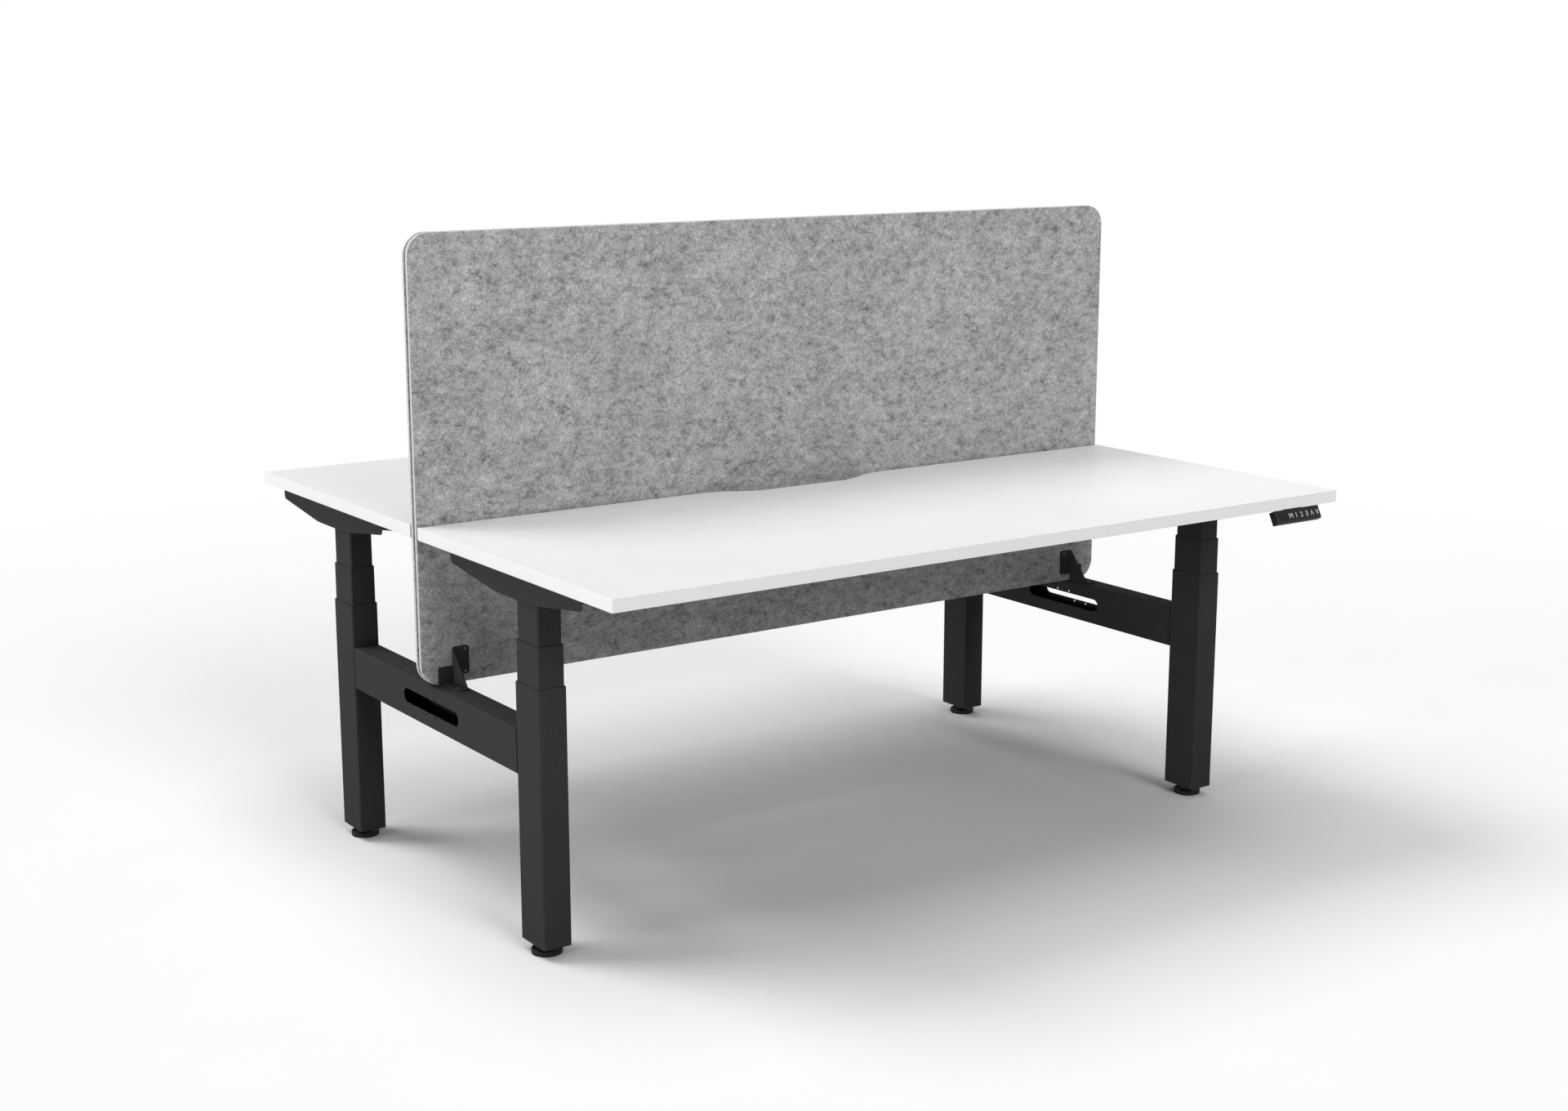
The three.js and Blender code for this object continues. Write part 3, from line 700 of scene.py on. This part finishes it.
def carrying_arm():
    """The channel on a leg: straight over the leg, tapered to both ends and open there and below."""
    low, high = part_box("support_front_left")
    leg = sum(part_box("outer_tube_front_left"), Vector()) / 2
    shallow = high.z - ARM_END_DEPTH
    arm = start_block("arm_front_left", low, high)
    tapers = (
        ((low.y, shallow), (leg.y - ARM_FLAT_NEAR, low.z), -1),
        ((high.y, shallow), (leg.y + ARM_FLAT_FAR, low.z), 1),
    )
    with editing(arm):
        for (end_y, end_z), (flat_y, flat_z), way in tapers:
            run = Vector((0, end_y - flat_y, end_z - flat_z))
            down = Vector((0, run.z, -run.y)) * way
            bpy.ops.mesh.select_all(action="SELECT")
            bpy.ops.mesh.bisect(
                plane_co=(leg.x, end_y, end_z), plane_no=down, use_fill=True, clear_outer=True,
            )
        across = along(X)
        bend = at_level(Z, low.z)
        round_edges(arm, lambda a, b: across(a, b) and bend(a, b), ARM_BEND, segments=6)
        tip = at_level(Z, shallow)
        round_edges(arm, lambda a, b: across(a, b) and tip(a, b), ARM_END_ROUND, segments=5)
    room = start_block(
        "room",
        (low.x + ARM_SHEET, low.y - CUT_PAST, low.z - CUT_PAST),
        (high.x - ARM_SHEET, high.y + CUT_PAST, high.z - ARM_SHEET),
    )
    combine(arm, room, "DIFFERENCE")
    soften(arm, SHEET_EDGE)
    return arm


def add_legs():
    """Models the front left leg, and copies it to the other three places."""
    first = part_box("outer_tube_front_left")
    blanks = {
        "outer_tube": leg_tube("outer", "leg_lower_front_left"),
        "middle_tube": leg_tube("middle", "leg_middle_front_left"),
        "inner_tube": leg_tube("inner", "leg_upper_front_left"),
        "levelling_foot": levelling_foot(),
        "support": carrying_arm(),
    }
    bodies = {
        "outer_tube": "base",
        "middle_tube": "middle_stage_{}_{}",
        "inner_tube": "{}_desk",
        "levelling_foot": "foot_{}_{}",
        "support": "{}_desk",
    }
    for kind, blank in blanks.items():
        blank.data.materials.append(FOOT_BLACK if kind == "levelling_foot" else POWDER)
    for side, end in LEGS:
        shift = Matrix.Translation(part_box(f"outer_tube_{side}_{end}")[0] - first[0])
        for kind, blank in blanks.items():
            name = blank.name.replace("front_left", f"{side}_{end}")
            piece = blank if (side, end) == ("front", "left") else twin(blank, name, shift)
            slot = "foot_plastic" if kind == "levelling_foot" else "powder_coat"
            finish_piece(piece, bodies[kind].format(side, end), slot, [], f"{kind}_{side}_{end}")


# Beams and screen brackets

def tie_beam(end):
    """A box beam with a cable slot and four fixing holes through both walls, and a plate in each end."""
    low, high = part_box(f"beam_{end}")
    joint = Vector((0, BEAM_JOINT, 0))
    beam = start_block(f"tie_beam_{end}", low + joint, high - joint)
    with editing(beam):
        round_edges(beam, along(Y), BEAM_CORNER, segments=5)
        select_faces(beam, facing(Y))
        bpy.ops.mesh.delete(type="FACE")
    apply_modifier(beam, "SOLIDIFY", thickness=BEAM_WALL, offset=-1)
    centre = (low + high) / 2
    half = Vector((high.x - low.x, SLOT_LENGTH, SLOT_HEIGHT)) / 2 + Vector((CUT_PAST, 0, 0))
    slot = start_block("slot", centre - half, centre + half)
    with editing(slot):
        round_edges(slot, along(X), SLOT_HEIGHT / 2 - TINY, segments=10)
    combine(beam, slot, "DIFFERENCE")
    for y in (-1, 1):
        for z in (-1, 1):
            hole = start_round("hole", (0, 0), SLOT_HOLE_RADIUS, -half.x, half.x, sides=20)
            spot = centre + Vector((0, y, z)) * SLOT_HOLE_SPACING / 2
            hole.data.transform(Matrix.Translation(spot) @ Matrix.Rotation(math.pi / 2, 4, "Y"))
            combine(beam, hole, "DIFFERENCE")
    soften(beam, SHEET_EDGE)
    inset = Vector((1, 0, 1)) * BEAM_WALL
    plates = [
        start_block(
            "end_plate",
            (low.x + inset.x, y - BEAM_JOINT, low.z + inset.z),
            (high.x - inset.x, y + BEAM_JOINT, high.z - inset.z),
        )
        for y in (low.y + BEAM_JOINT, high.y - BEAM_JOINT)
    ]
    return join(beam, *plates)


def screen_bracket():
    """A folded bracket: plate and wing on the felt, gusset, and a flange on the beam."""
    low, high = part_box("screen_bracket_rear_right")
    web = low.x + PLATE_WIDTH - BRACKET_SHEET
    face = low.y
    behind = face + BRACKET_SHEET
    through = along(Y)
    plate = start_block(
        "screen_bracket_plate", (low.x, face, low.z + PLATE_BOTTOM), (web + BRACKET_SHEET, behind, high.z),
    )
    with editing(plate):
        round_edges(plate, through, BRACKET_CORNER, segments=5)
    wing = start_block("wing", (web, face, low.z), (high.x, behind, low.z + WING_TOP))
    with editing(wing):
        upper = at_level(Z, low.z + WING_TOP)
        round_edges(
            wing, lambda a, b: through(a, b) and upper(a, b) and a.x > web + TINY,
            BRACKET_CORNER, segments=5,
        )
    gusset_top = high.z - BRACKET_CORNER
    gusset = start_block(
        "gusset", (web, face, low.z), (web + BRACKET_SHEET, face + WEB_FOOT, gusset_top),
    )
    with editing(gusset):
        bpy.ops.mesh.select_all(action="SELECT")
        bpy.ops.mesh.bisect(
            plane_co=(web, face + WEB_FOOT, low.z), plane_no=(0, gusset_top - low.z, WEB_FOOT - WEB_HEAD),
            use_fill=True, clear_outer=True,
        )
    flange = start_block("flange", (web, face, low.z), (web + FLANGE_WIDTH, high.y, low.z + BRACKET_SHEET))
    with editing(flange):
        upright = along(Z)
        round_edges(
            flange, lambda a, b: upright(a, b) and a.y > high.y - TINY, BRACKET_CORNER, segments=5,
        )
    for part in (wing, gusset, flange):
        combine(plate, part, "UNION")
    clean_joins(plate, JOIN_SLIVER)
    soften(plate, SHEET_EDGE)
    clean_joins(plate, TINY)
    return plate


def button_screw():
    """A domed screw with a hexagon socket, head up, seated at Z = 0."""
    head = start_round("button_screw", (0, 0), HEAD_RADIUS, 0, HEAD_HEIGHT, sides=32)
    with editing(head):
        round_edges(head, at_level(Z, HEAD_HEIGHT), HEAD_ROUND, segments=5)
    socket = start_round("socket", (0, 0), SOCKET_RADIUS, SOCKET_FLOOR, SOCKET_TOP, sides=6)
    combine(head, socket, "DIFFERENCE")
    return head


def bracket_screws():
    """The three screws of the rear right bracket: two in its plate and one in its flange."""
    low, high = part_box("screen_bracket_rear_right")
    behind = low.y + BRACKET_SHEET
    plate_x = low.x + PLATE_SCREW_FROM_SIDE
    plate_low = low.z + PLATE_BOTTOM + PLATE_SCREW_FROM_END
    flange_x = high.x - FLANGE_SCREW_FROM_SIDE
    backwards = Matrix.Rotation(-math.pi / 2, 4, "X")
    spots = [
        (Vector((plate_x, behind, high.z - PLATE_SCREW_FROM_END)), backwards),
        (Vector((plate_x, behind, plate_low)), backwards),
        (Vector((flange_x, high.y - FLANGE_SCREW_FROM_END, low.z + BRACKET_SHEET)), Matrix()),
    ]
    screw = button_screw()
    screws = [twin(screw, "bracket_screw", Matrix.Translation(spot) @ turn) for spot, turn in spots]
    bpy.data.objects.remove(screw)
    return join(*screws)


def add_base():
    for end in ENDS:
        finish_piece(tie_beam(end), "base", "powder_coat", [POWDER], f"beam_{end}")
    bracket = screen_bracket()
    screws = bracket_screws()
    for side, y in SIDES.items():
        for end, x in ENDS.items():
            mirror = Matrix.Diagonal((x, y, 1, 1))
            piece = twin(bracket, f"screen_angle_{side}_{end}", mirror)
            finish_piece(piece, "base", "powder_coat", [POWDER], f"screen_bracket_{side}_{end}")
            heads = twin(screws, f"angle_screws_{side}_{end}", mirror)
            finish_piece(heads, "base", "zinc_steel", [SCREW_BLACK])
    bpy.data.objects.remove(bracket)
    bpy.data.objects.remove(screws)


# Hand controls

def key_centres():
    last = len(KEY_NAMES) - 1
    return [Vector((KEY_LAST - (last - i) * KEY_PITCH, 0, -CONTROL_FACE / 2)) for i in range(last + 1)]


def window_centre():
    return Vector((WINDOW_CENTRE, 0, -CONTROL_FACE / 2))


def rounded_slab(name, centre, width, height, front, back, corner, edge=0):
    """An upright slab with round corners, and a softened front edge if one is given."""
    half = Vector((width, 0, height)) / 2
    slab = start_block(name, centre - half + Vector((0, front, 0)), centre + half + Vector((0, back, 0)))
    with editing(slab):
        round_edges(slab, along(Y), corner, segments=5)
        if edge:
            round_edges(slab, at_level(Y, front), edge, segments=3)
    return slab


def control_housing():
    """The case of a hand control, with a pocket for each key and a recess for the display window."""
    half = CONTROL_WIDTH / 2
    shell = start_block("hand_control_front", (-half, 0, -CONTROL_FACE), (half, CONTROL_DEPTH, 0))
    with editing(shell):
        face = at_level(Y, 0)
        bottom = at_level(Z, -CONTROL_FACE)
        round_edges(shell, lambda a, b: face(a, b) and bottom(a, b), CONTROL_CHAMFER, segments=1)
    for centre in key_centres():
        pocket = rounded_slab(
            "pocket", centre, KEY_WIDTH + 2 * KEY_GAP, KEY_HEIGHT + 2 * KEY_GAP,
            POCKET_FRONT, KEY_THICKNESS - KEY_PROUD + KEY_ROOM, KEY_CORNER,
        )
        combine(shell, pocket, "DIFFERENCE")
    recess = rounded_slab(
        "recess", window_centre(), WINDOW_WIDTH, WINDOW_HEIGHT, POCKET_FRONT, WINDOW_RECESS, WINDOW_CORNER,
    )
    combine(shell, recess, "DIFFERENCE")
    soften(shell, CONTROL_EDGE, angle=SLIGHT_ANGLE)
    return shell


def display_window():
    return rounded_slab(
        "display_window_front", window_centre(), WINDOW_WIDTH - WINDOW_PLAY, WINDOW_HEIGHT - WINDOW_PLAY,
        WINDOW_FRONT, WINDOW_BACK, WINDOW_CORNER, WINDOW_EDGE,
    )


def control_neck():
    """The folded strap that holds the housing under the top."""
    half = NECK_WIDTH / 2
    back = CONTROL_DEPTH * math.cos(CONTROL_TILT)
    strap = start_block(
        "control_neck_front", (-half, back / 2, NECK_RISE - NECK_SHEET), (half, NECK_REACH, NECK_RISE),
    )
    leaf = start_block(
        "leaf", (-half, back / 2, -CONTROL_FACE / 3), (half, back + NECK_LAP, NECK_RISE - NECK_LAP),
    )
    combine(strap, leaf, "UNION")
    soften(strap, NECK_EDGE, segments=3, angle=SLIGHT_ANGLE)
    return strap


def legend(text, centre, turn):
    """A printed character that stands a hair proud of its key."""
    bpy.ops.object.select_all(action="DESELECT")
    bpy.ops.object.text_add(location=(0, 0, 0))
    letter = bpy.context.object
    letter.data.body = text
    letter.data.size = LEGEND_SIZE
    letter.data.align_x = "CENTER"
    letter.data.align_y = "CENTER"
    letter.data.extrude = LEGEND_PROUD
    letter.data.resolution_u = 6
    bpy.ops.object.convert(target="MESH")
    letter = bpy.context.object
    corners = [vertex.co for vertex in letter.data.vertices]
    middle = Vector((
        min(corner.x for corner in corners) + max(corner.x for corner in corners),
        min(corner.y for corner in corners) + max(corner.y for corner in corners),
        0,
    )) / 2
    stand = Matrix.Rotation(math.pi / 2, 4, "X") @ Matrix.Rotation(turn, 4, "Z")
    place = centre - Vector((0, KEY_PROUD, 0))
    letter.data.transform(Matrix.Translation(place) @ stand @ Matrix.Translation(-middle))
    letter.data.materials.append(INK)
    return letter


def push_key(name, sign, centre):
    key = rounded_slab(
        "push_key", centre, KEY_WIDTH, KEY_HEIGHT,
        -KEY_PROUD, KEY_THICKNESS - KEY_PROUD, KEY_CORNER, KEY_EDGE,
    )
    key.data.materials.append(KEY_BLACK)
    return join(key, legend(sign, centre, math.pi if name == "up" else 0))


def add_hand_controls():
    """Models the front user's hand control, and turns copies of it to both sides."""
    tilted = Matrix.Translation(CONTROL_PLACE) @ Matrix.Rotation(CONTROL_TILT, 4, "X")
    level = Matrix.Translation(CONTROL_PLACE)
    turns = {"front": Matrix(), "rear": HALF_TURN}
    housing, neck, window = control_housing(), control_neck(), display_window()
    parts = ((housing, CASE_BLACK, tilted), (window, WINDOW, tilted), (neck, CASE_BLACK, level))
    for part, material, place in parts:
        part.data.materials.append(material)
        part.data.transform(place)
    control = join(housing, window, neck)
    for side, turn in turns.items():
        piece = twin(control, f"push_panel_{side}", turn)
        finish_piece(piece, f"{side}_desk", "moulded_black", [], f"handset_{side}")
    bpy.data.objects.remove(control)
    for name, sign, centre in zip(KEY_NAMES, KEY_LEGENDS, key_centres()):
        key = push_key(name, sign, centre)
        for side, turn in turns.items():
            piece = twin(key, f"push_{name}_{side}", turn @ tilted)
            finish_piece(piece, f"key_{name}_{side}", "key_black", [], f"key_{name}_{side}")
        bpy.data.objects.remove(key)


# Inner pieces that keep their CAD shape

def paint_inner_pieces():
    finishes = {
        "gear_motor": CAST,
        "drive_shaft": ZINC,
        "drive_tube": ZINC,
        "crossbar": POWDER,
        "control_box": CASE_BLACK,
    }
    for name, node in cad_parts.items():
        for prefix, material in finishes.items():
            if name.startswith(prefix):
                node.material_slots[0].material = material


# Stage, camera and light

def shown_rays(tree):
    """1 for the rays that show a surface, straight or through gloss or glass, and 0 for diffuse light."""
    path = add_node(tree, "ShaderNodeLightPath")
    shown = path.outputs["Is Camera Ray"]
    for ray in ("Is Glossy Ray", "Is Transmission Ray"):
        either = add_node(tree, "ShaderNodeMath", operation="MAXIMUM")
        tree.links.new(shown, either.inputs[0])
        tree.links.new(path.outputs[ray], either.inputs[1])
        shown = either.outputs["Value"]
    return shown


def add_floor():
    """A pale floor that fades to white further off, and bounces less light close to the bench."""
    bpy.ops.object.select_all(action="DESELECT")
    bpy.ops.mesh.primitive_plane_add(size=FLOOR_SIZE, location=(0, 0, 0))
    floor = bpy.context.object
    floor.name = "studio_floor"
    material, tree, shader = start_material("studio_floor", {"Roughness": 1, SPECULAR: 0})
    place = add_node(tree, "ShaderNodeTexCoord")
    length = add_node(tree, "ShaderNodeVectorMath", operation="LENGTH")
    tree.links.new(place.outputs["Object"], length.inputs[0])
    distance = length.outputs["Value"]
    seen = two_tone(tree, grain(tree, 2), grey(0.95), grey(0.965))
    tone = add_node(tree, "ShaderNodeMix", data_type="RGBA")
    tree.links.new(shown_rays(tree), tone.inputs["Factor"])
    tree.links.new(spread(tree, distance, *FLOOR_BOUNCE, *FLOOR_REACH), tone.inputs["A"])
    tree.links.new(seen, tone.inputs["B"])
    tree.links.new(tone.outputs["Result"], shader.inputs["Base Color"])
    fade = add_node(tree, "ShaderNodeMath", operation="MULTIPLY")
    tree.links.new(spread(tree, distance, 0, 1, *FLOOR_FADE), fade.inputs[0])
    tree.links.new(shown_rays(tree), fade.inputs[1])
    white = add_node(tree, "ShaderNodeEmission", {"Color": WHITE, "Strength": 1})
    mix = add_node(tree, "ShaderNodeMixShader")
    tree.links.new(fade.outputs["Value"], mix.inputs["Fac"])
    tree.links.new(shader.outputs["BSDF"], mix.inputs[1])
    tree.links.new(white.outputs["Emission"], mix.inputs[2])
    tree.links.new(mix.outputs["Shader"], tree.nodes["Material Output"].inputs["Surface"])
    floor.data.materials.append(material)


def add_camera():
    bpy.ops.object.camera_add(location=CAMERA_PLACE, rotation=CAMERA_TURN)
    camera = bpy.context.object
    camera.data.lens = CAMERA_LENS
    camera.data.sensor_width = CAMERA_SENSOR
    camera.data.clip_end = CAMERA_SIGHT
    bpy.context.scene.camera = camera


def add_lamps():
    for name, strength, softness, turn in LAMPS:
        rotation = [math.radians(angle) for angle in turn]
        bpy.ops.object.light_add(type="SUN", location=LAMP_PLACE, rotation=rotation)
        lamp = bpy.context.object
        lamp.name = name
        lamp.data.energy = strength
        lamp.data.angle = math.radians(softness)


def add_sky():
    """A world that is white where it is seen and gives only a little light."""
    world = bpy.data.worlds.new("studio")
    bpy.context.scene.world = world
    world.use_nodes = True
    tree = world.node_tree
    sky = tree.nodes["Background"]
    sky.inputs["Color"].default_value = WHITE
    sky.inputs["Strength"].default_value = SKY_STRENGTH
    backdrop = add_node(tree, "ShaderNodeBackground", {"Color": WHITE, "Strength": 1})
    mix = add_node(tree, "ShaderNodeMixShader")
    tree.links.new(shown_rays(tree), mix.inputs["Fac"])
    tree.links.new(sky.outputs["Background"], mix.inputs[1])
    tree.links.new(backdrop.outputs["Background"], mix.inputs[2])
    tree.links.new(mix.outputs["Shader"], tree.nodes["World Output"].inputs["Surface"])


add_tops()
add_screen()
add_legs()
add_base()
add_hand_controls()
paint_inner_pieces()
add_floor()
add_camera()
add_lamps()
add_sky()
bpy.context.scene.view_settings.view_transform = "Standard"
